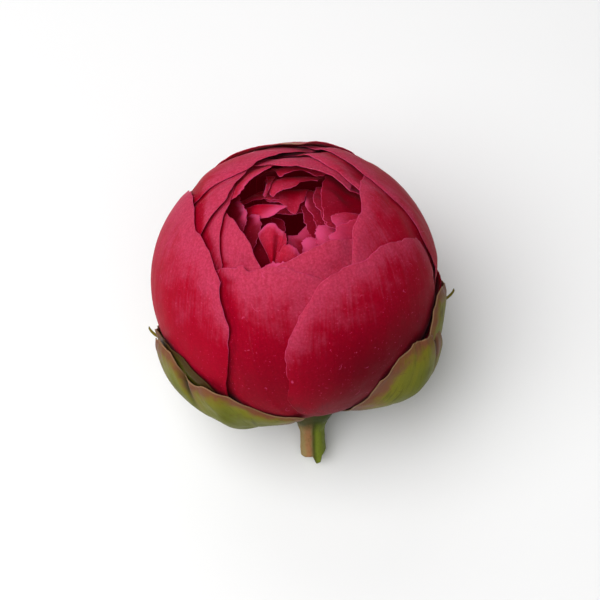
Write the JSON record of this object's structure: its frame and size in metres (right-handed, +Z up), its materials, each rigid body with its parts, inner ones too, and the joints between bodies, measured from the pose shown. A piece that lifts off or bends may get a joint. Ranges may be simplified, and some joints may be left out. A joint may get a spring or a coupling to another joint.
{
  "type": "peony bud",
  "caption": "Opening double peony bud, a ball of overlapping crimson petals with green sepals and a short cut stem, lying on a surface.",
  "frame": {"origin": "on the surface that the bud lies on, under the middle of its bounding box", "axes": "+Z up, and the mouth of the bud faces up; the growth axis leans 44 degrees back from the vertical towards +Y, so the stem points down towards -Y; +X is the bud's right as seen from -Y"},
  "size_m": [0.0864, 0.0774, 0.0774],
  "materials": {
    "guard_petal": "velvety satin petal, crimson, paler at its edge",
    "inner_petal": "velvety satin petal, deep crimson, pinker at its edge",
    "sepal": "matte olive green, flushed purple brown at its edge",
    "stem": "matte green, with a beige cut half"
  },
  "bodies": {
    "root": {"petal_left_lining": "guard_petal", "petal_roof": "guard_petal", "petal_front_inner": "guard_petal", "petal_left_sliver": "guard_petal", "petal_back_right": "guard_petal", "petal_right_upper": "guard_petal", "petal_left_upper": "guard_petal", "petal_front_middle": "guard_petal", "petal_back_left": "guard_petal", "petal_front_right": "guard_petal", "petal_left_outer": "guard_petal", "petal_right_outer": "guard_petal", "petal_back_outer": "guard_petal", "petal_right_low": "guard_petal", "inner_1_1": "inner_petal", "inner_1_2": "inner_petal", "inner_1_3": "inner_petal", "inner_1_4": "inner_petal", "inner_1_5": "inner_petal", "inner_1_6": "inner_petal", "inner_1_7": "inner_petal", "inner_2_1": "inner_petal", "inner_2_2": "inner_petal", "inner_2_3": "inner_petal", "inner_2_4": "inner_petal", "inner_2_5": "inner_petal", "inner_2_6": "inner_petal", "inner_3_1": "inner_petal", "inner_3_2": "inner_petal", "inner_3_3": "inner_petal", "inner_3_4": "inner_petal", "inner_3_5": "inner_petal", "inner_4_1": "inner_petal", "inner_4_2": "inner_petal", "inner_4_3": "inner_petal", "inner_4_4": "inner_petal", "inner_4_5": "inner_petal", "inner_5_1": "inner_petal", "inner_5_2": "inner_petal", "inner_5_3": "inner_petal", "inner_5_4": "inner_petal", "sepal_left_inner": "sepal", "sepal_left": "sepal", "sepal_right_upper": "sepal", "sepal_right": "sepal", "sepal_back_left": "sepal", "sepal_back_right": "sepal", "bract_left": "sepal", "bract_right": "sepal", "stem": "stem"}
  },
  "joints": []
}
